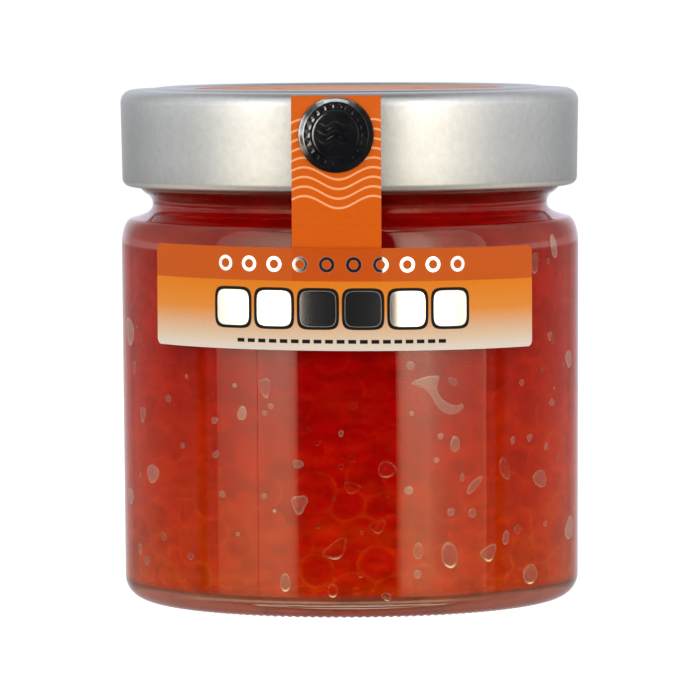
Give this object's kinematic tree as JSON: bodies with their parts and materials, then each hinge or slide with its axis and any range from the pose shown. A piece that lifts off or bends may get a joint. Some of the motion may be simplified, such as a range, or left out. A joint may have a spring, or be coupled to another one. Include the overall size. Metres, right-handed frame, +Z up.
{
  "type": "jar of salmon roe",
  "caption": "Sealed round clear glass jar packed with salmon roe, with a deep satin silver twist-off lid, an orange front label, a seal strip over the lid and a round black seal.",
  "frame": {"origin": "centre of the jar's base, on the plane that it stands on", "axes": "+Z up along the jar's axis, -Y towards the front label, +X to the right as seen from the front"},
  "size_m": [0.074, 0.0751, 0.0826],
  "materials": {
    "glass": "smooth clear flint glass, very slightly green",
    "roe": "wet, translucent orange-red eggs packed in their own liquid",
    "lid_metal": "satin silver lacquer with a very fine grain",
    "disc_paper": "coated paper, peach orange",
    "label_paper": "coated paper, dark orange band above a fade from orange to cream",
    "strip_paper": "coated orange paper with pale wave lines",
    "seal_black": "glossy black, domed, with relief"
  },
  "bodies": {
    "root": {"jar": "glass", "roe": "roe", "lid": "lid_metal", "lid_disc": "disc_paper", "front_label": "label_paper", "seal_strip": "strip_paper", "black_seal": "seal_black"}
  },
  "joints": []
}
